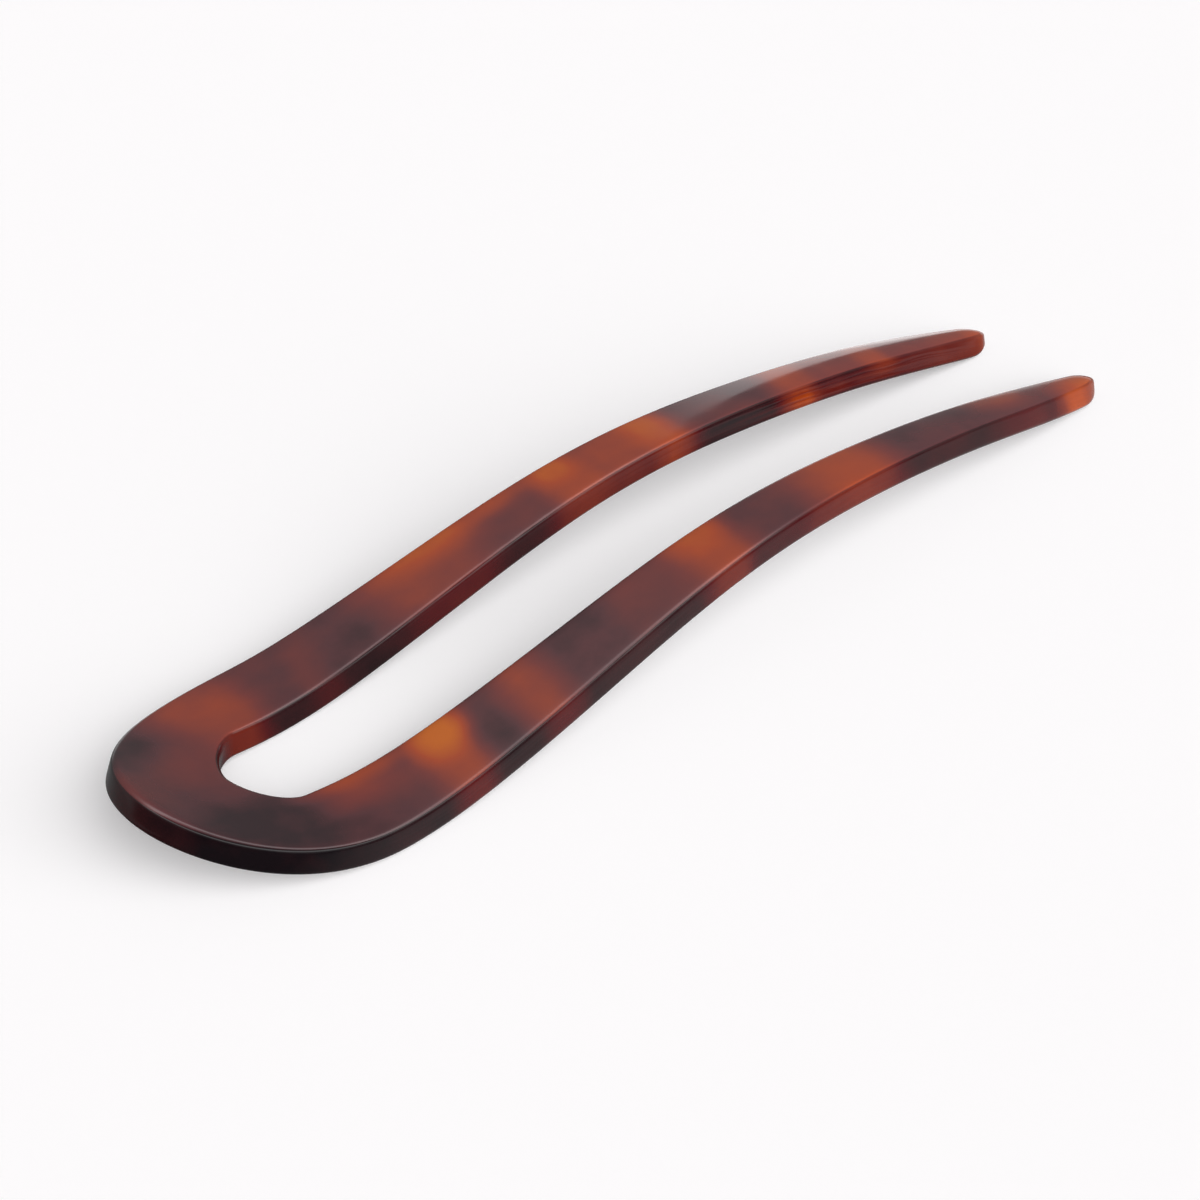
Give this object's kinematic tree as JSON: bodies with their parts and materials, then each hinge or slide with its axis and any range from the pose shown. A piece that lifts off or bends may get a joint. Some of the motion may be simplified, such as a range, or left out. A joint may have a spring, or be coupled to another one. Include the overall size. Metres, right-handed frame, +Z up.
{
  "type": "hair pin",
  "caption": "One-piece U-shaped hair pin cut from tortoiseshell sheet plastic and bent into a gentle wave, with an open gap between its prongs and rounded edges and tips.",
  "frame": {"origin": "middle of the pin's footprint, on the surface that it lies on", "axes": "+X from the closed end to the tips, +Y across the prongs, +Z up from the surface"},
  "size_m": [0.1206, 0.032, 0.0099],
  "materials": {
    "shell": "tortoiseshell cellulose acetate, amber and dark brown patches, softly polished"
  },
  "bodies": {
    "root": {"hair_pin": "shell"}
  },
  "joints": []
}
